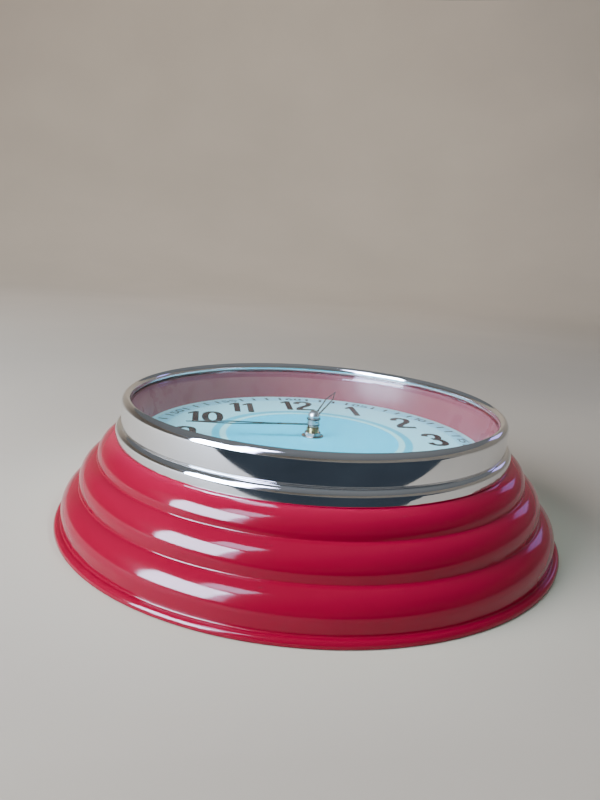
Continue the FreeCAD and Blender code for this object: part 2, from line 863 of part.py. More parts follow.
def make_rotor():
    body = new_body("rotor", ROTOR_X)
    module = tooth_module(S.rotor_distance, S.rotor_wheel_teeth, S.leaf_count)
    level = S.intermediate_level
    magnet_drop, magnet_depth, leaf_drop = 3.4, 2.8, 0.6
    magnet_low = level - magnet_drop
    ring(body, PIVOT_LOW, S.third_level + 0.8, S.pivot_radius)
    ring(body, magnet_low, magnet_low + magnet_depth, S.rotor_magnet)
    phase = mate_phase(0, S.rotor_wheel_teeth, 0, S.leaf_count)
    gear(body, S.leaf_count, module, level - leaf_drop, S.wheel_thickness + 0.8, phase)


def make_intermediate_wheel():
    body = new_body("intermediate_wheel", S.seconds_distance)
    wheel = tooth_module(S.rotor_distance, S.rotor_wheel_teeth, S.leaf_count)
    pinion = tooth_module(S.seconds_distance, S.seconds_teeth, S.leaf_count)
    level = S.intermediate_level
    ring(body, PIVOT_LOW, S.third_level + 0.8, S.pivot_radius)
    gear(body, S.rotor_wheel_teeth, wheel, level, S.wheel_thickness)
    phase = mate_phase(0, S.seconds_teeth, 0, S.leaf_count)
    gear(body, S.leaf_count, pinion, level + S.wheel_thickness, S.pinion_depth, phase)


def make_seconds_wheel():
    body = new_body("seconds_wheel")
    wheel = tooth_module(S.seconds_distance, S.seconds_teeth, S.leaf_count)
    pinion = tooth_module(S.third_distance, S.third_teeth, S.leaf_count)
    level = S.seconds_level
    ring(body, PIVOT_LOW, FRONT_FACE - 0.1, S.pivot_radius)
    gear(body, S.seconds_teeth, wheel, level, S.wheel_thickness)
    gear(body, S.leaf_count, pinion, level + S.wheel_thickness, S.pinion_depth)


def make_third_wheel():
    body = new_body("third_wheel", -S.third_distance)
    wheel = tooth_module(S.third_distance, S.third_teeth, S.leaf_count)
    pinion = tooth_module(S.third_distance, S.centre_teeth, S.leaf_count)
    level = S.third_level
    ring(body, PIVOT_LOW, FRONT_FACE - 0.1, S.pivot_radius)
    phase = mate_phase(0, S.leaf_count, 180, S.third_teeth)
    gear(body, S.third_teeth, wheel, level, S.wheel_thickness, phase)
    gear(body, S.leaf_count, pinion, level + S.wheel_thickness, S.pinion_depth)


def make_centre_wheel():
    """The driven wheel, free to slip on the minute arbor when the hands are set."""
    body = new_body("centre_wheel")
    module = tooth_module(S.third_distance, S.centre_teeth, S.leaf_count)
    phase = mate_phase(0, S.leaf_count, 0, S.centre_teeth)
    bore = S.arbor_radius + S.arbor_play
    gear(body, S.centre_teeth, module, S.centre_level, S.wheel_thickness, phase, bore)


def cannon_low():
    return S.centre_level + S.wheel_thickness + 0.2


def make_minute_arbor():
    body = new_body("minute_arbor")
    low = S.centre_level - 0.3
    collar = S.centre_level - 0.05
    collar_radius = S.arbor_radius + 0.75
    cannon_depth, cannon_overlap = 1.4, 0.4
    revolve(body, [
        (S.arbor_bore, low),
        (collar_radius, low),
        (collar_radius, collar),
        (S.arbor_radius, collar),
        (S.arbor_radius, S.arbor_shoulder),
        (S.thread_radius, S.arbor_shoulder),
        (S.thread_radius, S.thread_top),
        (0, S.thread_top),
        (0, FRONT_FACE + 0.2),
        (S.arbor_bore, FRONT_FACE + 0.2),
    ])
    module = tooth_module(S.motion_distance, S.motion_teeth, S.cannon_teeth)
    gear(body, S.cannon_teeth, module, cannon_low(), as_size(cannon_depth), 0,
         S.arbor_radius - cannon_overlap)


def make_clutch_spring():
    """A thin dished ring that presses the centre wheel on the arbor's collar."""
    body = new_body("clutch_spring")
    spring_thickness, spring_radius = 0.15, 4.0
    ring(body, cannon_low() - spring_thickness, cannon_low(), spring_radius, S.arbor_radius)


def make_motion_wheel():
    body = new_body("motion_wheel", MOTION_X, MOTION_Y)
    wheel = tooth_module(S.motion_distance, S.motion_teeth, S.cannon_teeth)
    pinion = tooth_module(S.motion_distance, S.hour_teeth, S.motion_leaves)
    bore = S.motion_stud + S.pivot_play
    gear(body, S.motion_teeth, wheel, S.motion_level, S.wheel_thickness, motion_phase(), bore)
    low = S.motion_level + S.wheel_thickness
    gear(body, S.motion_leaves, pinion, low, as_size(2.2), 0, bore)


def motion_phase():
    return mate_phase(0, S.cannon_teeth, S.motion_angle.value, S.motion_teeth)


def make_hour_wheel():
    body = new_body("hour_wheel")
    module = tooth_module(S.motion_distance, S.hour_teeth, S.motion_leaves)
    phase = mate_phase(0, S.motion_leaves, S.motion_angle.value + 180, S.hour_teeth)
    bore = S.arbor_radius + S.arbor_play
    gear(body, S.hour_teeth, module, S.hour_level, S.hour_gear_depth, phase, bore)
    ring(body, S.hour_level + S.hour_gear_depth, S.hour_tube_top, S.hour_tube_radius, bore)


def make_setting_knob():
    """The knob behind the cover, its shaft and the pinion that turns the motion wheel."""
    body = new_body("setting_knob", 2 * MOTION_X, 2 * MOTION_Y)
    top = S.movement_back - S.knob_gap
    low = top - S.knob_depth
    ring(body, low, top, S.knob_radius)
    sketch = flat(body, low)
    groove_radius, pinion_depth = 0.45, 1.2
    circle(sketch, groove_radius, S.knob_radius, 0)
    groove = cut(body, sketch, S.knob_depth)
    repeat_round(body, [groove], sketch, S.knob_grooves)
    pinion_low = S.motion_level - 0.2
    ring(body, top, pinion_low + pinion_depth, S.knob_shaft)
    module = tooth_module(S.motion_distance, S.motion_teeth, S.cannon_teeth)
    phase = mate_phase(motion_phase(), S.motion_teeth, S.motion_angle.value, S.set_teeth)
    gear(body, S.set_teeth, module, pinion_low, as_size(pinion_depth), phase)
    ring(body, pinion_low + pinion_depth, FRONT_FACE - 0.1, S.pivot_radius)


# ---- hands ----

def blade(body, low, thickness, edge, window):
    """A hand's blade along +Y, mirrored about its centre line, with an open middle."""
    sketch = flat(body, low)
    for side in (edge, window):
        mirrored = [(-x, y) for x, y in reversed(side) if as_size(x).value > 0]
        outline(sketch, side + mirrored)
    pad(body, sketch, thickness)


def make_hour_hand():
    body = new_body("hour_hand", 0, 0, -S.hour_hand_angle)
    low, thickness, length = S.hour_hand_level, S.hour_hand_thickness, S.hour_hand_length
    ring(body, low, low + thickness, S.hour_hand_hub, S.hour_tube_radius)
    ring(body, low + thickness, S.arbor_shoulder - S.hour_collar_gap, S.hour_collar_radius,
         S.hour_tube_radius)
    shank, shank_start, shank_end = as_size(1.3), 3.2, length * 0.31
    widest, half_width, rail = length * 0.65, 2.9, 0.9
    edge = [(shank, shank_start), (shank, shank_end), (half_width, widest), (0, length)]
    window = [(0.2, length * 0.34), (half_width - rail, widest), (0, length * 0.95)]
    blade(body, low, thickness, edge, window)


def make_minute_hand():
    body = new_body("minute_hand", 0, 0, -S.minute_hand_angle)
    low, thickness, length = S.arbor_shoulder, S.minute_hand_thickness, S.minute_hand_length
    ring(body, low, low + thickness, S.minute_hand_hub, S.thread_radius)
    shank, shank_start, shank_end = 1.35, 3.0, length * 0.11
    widest, half_width, rail = length * 0.67, 2.8, 0.95
    edge = [(1.25, shank_start), (shank, shank_end), (half_width, widest), (0, length)]
    window = [(0.35, length * 0.13), (half_width - rail, widest), (0, length * 0.94)]
    blade(body, low, thickness, edge, window)


def make_hand_cap():
    body = new_body("hand_cap")
    low = S.arbor_shoulder + S.minute_hand_thickness
    dome_low = S.cap_top - S.cap_radius
    revolve(body, [
        (S.thread_radius, low),
        (S.cap_neck, low),
        (S.cap_neck, low + 0.6),
        (S.cap_radius, dome_low - 0.6),
        (S.cap_radius, dome_low, S.cap_radius),
        (0, S.cap_top),
        (0, S.thread_top + 0.2),
        (S.thread_radius, S.thread_top + 0.2),
    ])


# ---- everything ----

MAKERS = [
    make_case_shell, make_bezel, make_lens, make_lens_gasket, make_dial_ring, make_dial_plate,
    make_bezel_screws, make_hanger_plate, make_hanger_screws, make_movement_case, make_movement_cover,
    make_train_bridge, make_threaded_bush, make_washers_and_nut, make_battery, make_contacts,
    make_circuit_board, make_quartz_crystal, make_stator, make_coil, make_rotor, make_intermediate_wheel,
    make_seconds_wheel, make_third_wheel, make_centre_wheel, make_minute_arbor, make_clutch_spring,
    make_motion_wheel, make_hour_wheel, make_setting_knob, make_hour_hand, make_minute_hand, make_hand_cap,
]


def check_document():
    for item in doc.Objects:
        if "Invalid" in item.State or "Error" in item.State:
            raise RuntimeError(f"{item.Label} failed to compute: {item.State}")
    for part in sub_parts:
        if part.Shape.isNull() or not part.Shape.isValid():
            raise RuntimeError(f"{part.Label} has no valid shape")


def write_parts():
    os.makedirs("parts", exist_ok=True)
    for part in sub_parts:
        part.Shape.exportStep(os.path.join("parts", part.Label + ".step"))
        print(f"{part.Label:20s} solids {len(part.Shape.Solids)}  volume {part.Shape.Volume:10.2f}")


for make in MAKERS:
    make()
doc.recompute()
check_document()
write_parts()
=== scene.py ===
import json
import math

import bmesh
import bpy
from mathutils import Matrix, Vector
from mathutils.geometry import delaunay_2d_cdt


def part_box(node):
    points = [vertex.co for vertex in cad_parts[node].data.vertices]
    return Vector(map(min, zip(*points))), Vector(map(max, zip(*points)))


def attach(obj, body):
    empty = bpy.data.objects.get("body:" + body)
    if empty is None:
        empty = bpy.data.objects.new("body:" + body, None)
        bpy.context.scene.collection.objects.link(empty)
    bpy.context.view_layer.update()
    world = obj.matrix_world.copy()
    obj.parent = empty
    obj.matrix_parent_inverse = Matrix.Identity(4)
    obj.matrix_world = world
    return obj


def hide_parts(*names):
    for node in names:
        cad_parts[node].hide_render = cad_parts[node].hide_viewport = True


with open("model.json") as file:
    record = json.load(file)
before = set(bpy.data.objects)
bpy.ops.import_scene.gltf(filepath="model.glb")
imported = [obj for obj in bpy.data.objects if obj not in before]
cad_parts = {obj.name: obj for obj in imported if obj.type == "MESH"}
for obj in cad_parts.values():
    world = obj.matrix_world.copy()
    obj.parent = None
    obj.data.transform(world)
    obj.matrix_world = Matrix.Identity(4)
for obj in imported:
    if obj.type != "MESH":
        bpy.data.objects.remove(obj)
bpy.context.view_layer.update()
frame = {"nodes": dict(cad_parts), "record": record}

# A 12 inch wall clock lying on its back. +Z is the dial's normal and +Y is 12 o'clock. Sizes named below
# are in millimetres, as in the CAD source, and MM turns them into the scene's metres.
MM = 0.001
NODES = frame["nodes"]
BODY_OF = {node: body for body, nodes in frame["record"]["behaviour"]["bodies"].items() for node in nodes}
SLOT_OF = {row["node"]: row["material_slot"] for row in frame["record"]["subparts"]}


# ---- camera ----

def make_camera():
    """The photograph's viewpoint: low, in front of 6 o'clock and a little to the left, slightly rolled."""
    turn, fall, roll = math.radians(8.48), math.radians(12.98), math.radians(-4.1)
    forward = Vector((math.sin(turn) * math.cos(fall), math.cos(turn) * math.cos(fall), -math.sin(fall)))
    right = forward.cross(Vector((0, 0, 1))).normalized()
    up = right.cross(forward)
    camera_right = math.cos(roll) * right - math.sin(roll) * up
    camera_up = math.sin(roll) * right + math.cos(roll) * up
    camera = bpy.data.objects.new("camera", bpy.data.cameras.new("camera"))
    camera.data.lens = 30.575
    camera.data.clip_start = 0.01
    axes = Matrix((camera_right, camera_up, -forward)).transposed().to_4x4()
    camera.matrix_world = Matrix.Translation((-0.0693, -0.4021, 0.1661)) @ axes
    bpy.context.scene.collection.objects.link(camera)
    bpy.context.scene.camera = camera


# ---- mesh helpers ----

def arc_points(begin, end, radius, step):
    """Points after begin, up to end, on the short arc: left-turning for a positive radius."""
    chord = end - begin
    rise = math.sqrt(max(radius * radius - chord.length_squared / 4, 0))
    side = Vector((-chord.y, chord.x)).normalized() * math.copysign(rise, radius)
    centre = (begin + end) / 2 + side
    first = math.atan2(begin.y - centre.y, begin.x - centre.x)
    sweep = 2 * math.asin(min(chord.length / 2 / abs(radius), 1)) * math.copysign(1, radius)
    count = max(2, math.ceil(abs(sweep) / math.radians(step)))
    turns = [first + sweep * index / count for index in range(1, count + 1)]
    return [centre + abs(radius) * Vector((math.cos(turn), math.sin(turn))) for turn in turns]


def section(corners, step=5):
    """A closed section as points; a corner (r, z, radius) starts an arc to the next corner."""
    points = []
    for index, corner in enumerate(corners):
        begin = Vector(corner[:2])
        end = Vector(corners[(index + 1) % len(corners)][:2])
        if not points or (points[-1] - begin).length > 1e-6:
            points.append(begin)
        if len(corner) == 3:
            points += arc_points(begin, end, corner[2], step)
    if (points[-1] - points[0]).length < 1e-6:
        points.pop()
    return points


def soften(points, radius, least=30):
    """Round each corner of a closed section that turns by more than least degrees."""
    softened = []
    for index, point in enumerate(points):
        before = points[index - 1] - point
        after = points[(index + 1) % len(points)] - point
        turn = math.pi - before.angle(after)
        reach = min(radius * math.tan(turn / 2), 0.4 * before.length, 0.4 * after.length)
        if turn < math.radians(least):
            softened.append(point)
            continue
        first, last = point + before.normalized() * reach, point + after.normalized() * reach
        for share in (0, 0.25, 0.5, 0.75, 1):
            softened.append(first * (1 - share) ** 2 + point * 2 * share * (1 - share) + last * share ** 2)
    return softened


def from_bmesh(name, bm, sharp=35):
    """An object in the scene, smooth except where faces meet at more than sharp degrees."""
    bmesh.ops.recalc_face_normals(bm, faces=bm.faces)
    mesh = bpy.data.meshes.new(name)
    bm.to_mesh(mesh)
    bm.free()
    mesh.shade_smooth()
    mesh.set_sharp_from_angle(angle=math.radians(sharp))
    item = bpy.data.objects.new(name, mesh)
    bpy.context.scene.collection.objects.link(item)
    return item


def ring_row(bm, reach_at, level, count):
    """A ring of vertices in millimetres; reach_at gives the radius at each turn."""
    row = []
    for index in range(count):
        turn = 2 * math.pi * index / count
        reach = reach_at(turn)
        row.append(bm.verts.new((reach * math.cos(turn) * MM, reach * math.sin(turn) * MM, level * MM)))
    return row


def round_rows(bm, corners, count):
    """One round ring for each (radius, level); a point on the axis is one shared vertex."""
    rows = []
    for reach, level in corners:
        if abs(reach) < 1e-6:
            rows.append([bm.verts.new((0, 0, level * MM))] * count)
        else:
            rows.append(ring_row(bm, lambda turn: reach, level, count))
    return rows


def bridge(bm, rows, closed=True):
    """Faces between neighbouring rings, and in a closed section from the last ring to the first."""
    following = rows[1:] + rows[:1] if closed else rows[1:]
    for low, high in zip(rows, following):
        for index in range(len(low)):
            after = (index + 1) % len(low)
            corners = list(dict.fromkeys([low[index], low[after], high[after], high[index]]))
            if len(corners) > 2:
                bm.faces.new(corners)


def lathe(name, points, count=256, place=(0, 0, 0), sharp=35, closed=True):
    """A section in millimetres, turned about +Z through place."""
    bm = bmesh.new()
    bridge(bm, round_rows(bm, points, count), closed)
    bmesh.ops.translate(bm, vec=Vector(place) * MM, verts=bm.verts)
    return from_bmesh(name, bm, sharp)


def block(bm, low, high, turn=0):
    """A box between two corners in millimetres, turned about +Z."""
    middle = (Vector(low) + Vector(high)) / 2
    size = Vector(high) - Vector(low)
    matrix = Matrix.Rotation(turn, 4, "Z") @ Matrix.Translation(middle * MM)
    matrix = matrix @ Matrix.Diagonal((*(size * MM), 1))
    bmesh.ops.create_cube(bm, size=1, matrix=matrix)


def bevelled(item, width, segments=2):
    modifier = item.modifiers.new("edges", "BEVEL")
    modifier.width = width * MM
    modifier.segments = segments
    modifier.limit_method = "ANGLE"
    modifier.angle_limit = math.radians(40)
    modifier.harden_normals = True
    return item


def stand_for(item, node, material):
    """item takes the CAD node's place, body and slot."""
    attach(item, BODY_OF[node])
    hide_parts(node)
    item.data.materials.append(material)
    return item


def beside(item, node, material):
    """item is extra detail that rides with a CAD node."""
    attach(item, BODY_OF[node])
    item.data.materials.append(material)
    return item


# ---- material helpers ----

class Finish:
    """A Principled material and the few node chains that the finishes below share."""

    def __init__(self, name, **values):
        self.material = bpy.data.materials.new(name)
        self.material.use_nodes = True
        self.tree = self.material.node_tree
        self.shader = self.tree.nodes["Principled BSDF"]
        for key, value in values.items():
            self.shader.inputs[key.replace("_", " ")].default_value = value
        self.place = self.node("ShaderNodeTexCoord").outputs["Object"]

    def node(self, kind, **settings):
        made = self.tree.nodes.new(kind)
        for key, value in settings.items():
            setattr(made, key, value)
        return made

    def link(self, source, target):
        self.tree.links.new(source, target)

    def math(self, operation, *terms):
        made = self.node("ShaderNodeMath", operation=operation)
        for socket, term in zip(made.inputs, terms):
            if isinstance(term, (int, float)):
                socket.default_value = term
            else:
                self.link(term, socket)
        return made.outputs[0]

    def noise(self, scale, detail=3.0, rough=0.5, place=None):
        made = self.node("ShaderNodeTexNoise")
        made.inputs["Scale"].default_value = scale
        made.inputs["Detail"].default_value = detail
        made.inputs["Roughness"].default_value = rough
        self.link(place or self.place, made.inputs["Vector"])
        return made.outputs["Fac"]

    def stretched(self, scale):
        """Object coordinates scaled unevenly, for grain that runs one way."""
        made = self.node("ShaderNodeMapping")
        made.inputs["Scale"].default_value = scale
        self.link(self.place, made.inputs["Vector"])
        return made.outputs["Vector"]

    def axes(self):
        """The X, Y and Z of the object coordinates."""
        parts = self.node("ShaderNodeSeparateXYZ")
        self.link(self.place, parts.inputs[0])
        return parts.outputs["X"], parts.outputs["Y"], parts.outputs["Z"]

    def reach(self):
        """The distance from the dial's axis."""
        x, y, _ = self.axes()
        return self.math("SQRT", self.math("ADD", self.math("POWER", x, 2.0), self.math("POWER", y, 2.0)))

    def around(self, along, across):
        """Coordinates that follow the circumference, for turned or polished rings."""
        x, y, z = self.axes()
        made = self.node("ShaderNodeCombineXYZ")
        self.link(self.math("MULTIPLY", self.math("ARCTAN2", y, x), along), made.inputs["X"])
        self.link(self.math("MULTIPLY", self.reach(), across), made.inputs["Y"])
        self.link(self.math("MULTIPLY", z, across), made.inputs["Z"])
        return made.outputs[0]

    def specks(self, scale, size, share):
        """1 in small scattered dots, 0 between them: dust and pits."""
        made = self.node("ShaderNodeTexVoronoi")
        made.inputs["Scale"].default_value = scale
        self.link(self.place, made.inputs["Vector"])
        parts = self.node("ShaderNodeSeparateColor")
        self.link(made.outputs["Color"], parts.inputs[0])
        near = self.math("LESS_THAN", made.outputs["Distance"], size)
        chosen = self.math("LESS_THAN", parts.outputs["Red"], share)
        return self.math("MULTIPLY", near, chosen)

    def ramp(self, factor, stops, smooth="LINEAR"):
        made = self.node("ShaderNodeValToRGB")
        made.color_ramp.interpolation = smooth
        items = made.color_ramp.elements
        while len(items) < len(stops):
            items.new(0.5)
        for item, (position, colour) in zip(items, stops):
            item.position = position
            item.color = (*colour, 1)
        self.link(factor, made.inputs["Fac"])
        return made.outputs["Color"]

    def blend(self, factor, first, second):
        made = self.node("ShaderNodeMix", data_type="RGBA")
        for socket, value in ((made.inputs["Factor"], factor), (made.inputs["A"], first),
                              (made.inputs["B"], second)):
            if isinstance(value, tuple):
                socket.default_value = (*value, 1)
            else:
                self.link(value, socket)
        return made.outputs["Result"]

    def colour(self, source):
        self.link(source, self.shader.inputs["Base Color"])

    def rough(self, source, low, high):
        made = self.node("ShaderNodeMapRange")
        made.inputs["From Min"].default_value = 0.3
        made.inputs["From Max"].default_value = 0.7
        made.inputs["To Min"].default_value = low
        made.inputs["To Max"].default_value = high
        self.link(source, made.inputs["Value"])
        self.link(made.outputs["Result"], self.shader.inputs["Roughness"])

    def bump(self, source, depth, strength=1.0, onto=None):
        """Relief of about depth millimetres."""
        made = self.node("ShaderNodeBump")
        made.inputs["Strength"].default_value = strength
        made.inputs["Distance"].default_value = depth * MM
        self.link(source, made.inputs["Height"])
        if onto is not None:
            self.link(onto, made.inputs["Normal"])
        self.link(made.outputs["Normal"], self.shader.inputs["Normal"])
        return made.outputs["Normal"]


# ---- finishes ----

def red_plastic():
    """High-gloss moulded red, with faint flow marks, orange peel, hairline scuffs and dust."""
    finish = Finish("red_plastic_gloss", IOR=1.36)
    flow = finish.noise(9, 2)
    base = finish.ramp(flow, [(0.3, (0.26, 0.0014, 0.024)), (0.7, (0.31, 0.0018, 0.031))])
    dust = finish.specks(95, 0.045, 0.12)
    finish.colour(finish.blend(dust, base, (0.55, 0.25, 0.27)))
    smear = finish.noise(38, 5, 0.6, finish.around(0.12, 1.0))
    finish.rough(smear, 0.07, 0.13)
    peel = finish.bump(finish.noise(260, 2), 0.004)
    scuffs = finish.noise(900, 2, 0.5, finish.around(0.008, 1.0))
    finish.bump(scuffs, 0.0012, 1.0, peel)
    return finish.material


def pale_red():
    """The well's tapered wall: the case red painted paler and pinker, a painted reflection of the dial's
    light, with a satin roughness.
    """
    finish = Finish("well_wall_red_painted_reflection", IOR=1.3)
    painted_sheen = finish.noise(40, 4, 0.6, finish.around(0.25, 1.0))
    # painted reflection: these pale pink tones stand in for light reflected from the dial, not the plastic's
    # own red
    finish.colour(finish.ramp(painted_sheen, [(0.3, (0.33, 0.074, 0.110)), (0.7, (0.37, 0.088, 0.128))]))
    finish.rough(finish.noise(90, 4), 0.24, 0.36)
    finish.bump(finish.noise(420, 2), 0.004)
    return finish.material


def chrome():
    """Bright plating with fine polishing lines round the ring, faint smudges and dust."""
    finish = Finish("chrome_plate", Metallic=1.0)
    tone = finish.noise(30, 3)
    base = finish.ramp(tone, [(0.3, (0.78, 0.80, 0.82)), (0.7, (0.86, 0.87, 0.88))])
    dust = finish.specks(120, 0.04, 0.1)
    finish.colour(finish.blend(dust, base, (0.42, 0.42, 0.43)))
    smudge = finish.noise(26, 6, 0.65, finish.around(0.1, 1.0))
    finish.rough(smudge, 0.02, 0.10)
    finish.bump(finish.noise(1500, 2, 0.5, finish.around(0.006, 1.0)), 0.0004)
    return finish.material


def flat_glass():
    """Clear float glass: it mirrors more at a glancing view, and a little dust lies on it."""
    finish = Finish("clear_glass", Roughness=0.6)
    finish.colour(finish.ramp(finish.noise(60, 3), [(0.3, (0.75, 0.77, 0.78)), (0.7, (0.86, 0.87, 0.88))]))
    facing = finish.node("ShaderNodeLayerWeight")
    facing.inputs["Blend"].default_value = 0.5
    edge = finish.math("POWER", facing.outputs["Facing"], 5.0)
    mirror = finish.math("ADD", finish.math("MULTIPLY", edge, 0.34), 0.02)
    clear = finish.node("ShaderNodeBsdfTransparent")
    clear.inputs["Color"].default_value = (0.975, 0.985, 0.98, 1)
    gloss = finish.node("ShaderNodeBsdfGlossy")
    gloss.inputs["Roughness"].default_value = 0.03
    pane = finish.node("ShaderNodeMixShader")
    finish.link(mirror, pane.inputs[0])
    finish.link(clear.outputs[0], pane.inputs[1])
    finish.link(gloss.outputs[0], pane.inputs[2])
    film = finish.math("MULTIPLY", finish.noise(18, 6, 0.7), 0.012)
    dusty = finish.node("ShaderNodeMixShader")
    finish.link(finish.math("MAXIMUM", film, finish.math("MULTIPLY", finish.specks(140, 0.05, 0.15), 0.5)),
                dusty.inputs[0])
    finish.link(pane.outputs[0], dusty.inputs[1])
    finish.link(finish.shader.outputs[0], dusty.inputs[2])
    output = finish.tree.nodes["Material Output"]
    finish.link(dusty.outputs[0], output.inputs["Surface"])
    return finish.material


DIAL_COLOURS = {
    "disc": (0.001, 0.64, 1.0),
    "line": (0.42, 0.84, 0.95),
    "band": (0.04, 0.52, 0.76),
    "field": (0.39, 0.80, 0.97),
    "track": (0.28, 0.68, 0.90),
    "margin": (0.45, 0.80, 0.94),
}
# each printed ring starts at its radius and runs to the next
DIAL_RINGS = [
    (0, "disc"), (53.7, "line"), (57.6, "band"), (62.4, "field"), (92.8, "track"), (102.6, "margin"),
]
DIAL_REACH = 111


def dial_print():
    """Printed rings on satin card, with a soft edge to each ink and a trace of paper grain."""
    finish = Finish("dial_card", Specular_IOR_Level=0.15)
    wander = finish.math("MULTIPLY", finish.math("SUBTRACT", finish.noise(900, 2), 0.5), 0.0002)
    share = finish.math("DIVIDE", finish.math("ADD", finish.reach(), wander), DIAL_REACH * MM)
    soft = 0.35
    stops = [(0.0, DIAL_COLOURS[DIAL_RINGS[0][1]])]
    for (_, before), (radius, name) in zip(DIAL_RINGS, DIAL_RINGS[1:]):
        stops.append(((radius - soft) / DIAL_REACH, DIAL_COLOURS[before]))
        stops.append(((radius + soft) / DIAL_REACH, DIAL_COLOURS[name]))
    rings = finish.ramp(share, stops)
    grain = finish.ramp(finish.noise(2200, 3), [(0.3, (0.94, 0.94, 0.94)), (0.7, (1.0, 1.0, 1.0))])
    made = finish.node("ShaderNodeMix", data_type="RGBA", blend_type="MULTIPLY")
    made.inputs["Factor"].default_value = 1.0
    finish.link(rings, made.inputs["A"])
    finish.link(grain, made.inputs["B"])
    finish.colour(made.outputs["Result"])
    finish.rough(finish.noise(70, 4), 0.32, 0.5)
    finish.bump(finish.noise(1500, 2), 0.006)
    return finish.material


def ink():
    """Dark brown screen ink, a little uneven."""
    finish = Finish("numeral_ink", Specular_IOR_Level=0.15)
    tones = [(0.3, (0.010, 0.004, 0.005)), (0.7, (0.024, 0.010, 0.013))]
    finish.colour(finish.ramp(finish.noise(350, 4), tones))
    finish.rough(finish.noise(700, 3), 0.35, 0.55)
    finish.bump(finish.noise(1800, 2), 0.004)
    return finish.material


def plain_metal(name, low, high, rough_low, rough_high, grain=220, relief=0.003):
    """Plated or stamped metal, a little mottled."""
    finish = Finish(name, Metallic=1.0)
    finish.colour(finish.ramp(finish.noise(grain, 4), [(0.3, low), (0.7, high)]))
    finish.rough(finish.noise(grain * 1.7, 4), rough_low, rough_high)
    finish.bump(finish.noise(grain * 5, 3), relief)
    return finish.material


def turned_metal(name, low, high, rough_low, rough_high, relief=0.003):
    """Metal with lathe marks round its own axis at the dial's centre."""
    finish = Finish(name, Metallic=1.0)
    rings = finish.around(0.01, 1.0)
    finish.colour(finish.ramp(finish.noise(700, 3, 0.5, rings), [(0.3, low), (0.7, high)]))
    finish.rough(finish.noise(400, 4), rough_low, rough_high)
    finish.bump(finish.noise(2600, 2, 0.5, rings), relief)
    return finish.material


def moulded(name, low, high, rough_low, rough_high, grain=900, relief=0.02, ior=1.5):
    """Plastic or rubber with a spark-eroded texture and slight shade variation."""
    finish = Finish(name, IOR=ior)
    finish.colour(finish.ramp(finish.noise(60, 3), [(0.3, low), (0.7, high)]))
    finish.rough(finish.noise(240, 4), rough_low, rough_high)
    finish.bump(finish.noise(grain, 3, 0.6), relief)
    return finish.material


def circuit_board():
    """Green solder resist over a glass weave, with copper tracks showing through."""
    finish = Finish("board_lacquer", IOR=1.5)
    weave = finish.noise(1500, 2, 0.5, finish.stretched((1, 0.25, 1)))
    tracks = finish.noise(260, 0, 0.5, finish.stretched((1, 0.5, 1)))
    base = finish.ramp(weave, [(0.3, (0.012, 0.11, 0.035)), (0.7, (0.02, 0.16, 0.05))])
    copper = finish.ramp(tracks, [(0.50, (0, 0, 0)), (0.53, (1, 1, 1))])
    finish.colour(finish.blend(copper, base, (0.05, 0.24, 0.08)))
    finish.rough(finish.noise(300, 3), 0.25, 0.4)
    finish.bump(tracks, 0.03)
    return finish.material


def wound_wire():
    """Enamelled copper turns laid side by side."""
    finish = Finish("winding_wire", Metallic=0.9)
    wave = finish.node("ShaderNodeTexWave", wave_type="BANDS", bands_direction="Y")
    wave.inputs["Scale"].default_value = 1400
    wave.inputs["Distortion"].default_value = 0.6
    finish.link(finish.place, wave.inputs["Vector"])
    finish.colour(finish.ramp(wave.outputs["Fac"], [(0.2, (0.30, 0.09, 0.03)), (0.8, (0.72, 0.30, 0.12))]))
    finish.rough(finish.noise(400, 3), 0.25, 0.4)
    finish.bump(wave.outputs["Fac"], 0.05)
    return finish.material


def hand_lacquer():
    """Near-black lacquer on thin stamped metal; the collar round the axis is left bright."""
    finish = Finish("hand_lacquer", Specular_IOR_Level=0.2)
    brushed = finish.noise(900, 3, 0.5, finish.stretched((1, 0.2, 1)))
    lacquer = finish.ramp(brushed, [(0.3, (0.006, 0.010, 0.016)), (0.7, (0.014, 0.020, 0.028))])
    collar_reach = 3.85
    collar = finish.math("LESS_THAN", finish.reach(), collar_reach * MM)
    finish.link(collar, finish.shader.inputs["Metallic"])
    finish.colour(finish.blend(collar, lacquer, (0.46, 0.46, 0.45)))
    finish.rough(finish.noise(300, 3), 0.22, 0.38)
    finish.bump(brushed, 0.003)
    return finish.material


def cell_jacket():
    """A plain two-colour shrink film, darker over the positive third of the cell."""
    finish = Finish("cell_film", IOR=1.5, Coat_Weight=0.5, Coat_Roughness=0.08)
    seam = finish.math("ADD", finish.axes()[0], finish.math("MULTIPLY", finish.noise(500, 2), 0.0002))
    share = finish.math("ADD", finish.math("MULTIPLY", seam, 10.0), 0.5)
    finish.colour(finish.ramp(share, [(0.56, (0.55, 0.56, 0.58)), (0.565, (0.9, 0.9, 0.9)),
                                      (0.575, (0.9, 0.9, 0.9)), (0.58, (0.04, 0.09, 0.20))]))
    finish.rough(finish.noise(90, 4), 0.16, 0.3)
    finish.bump(finish.noise(200, 3), 0.01)
    return finish.material


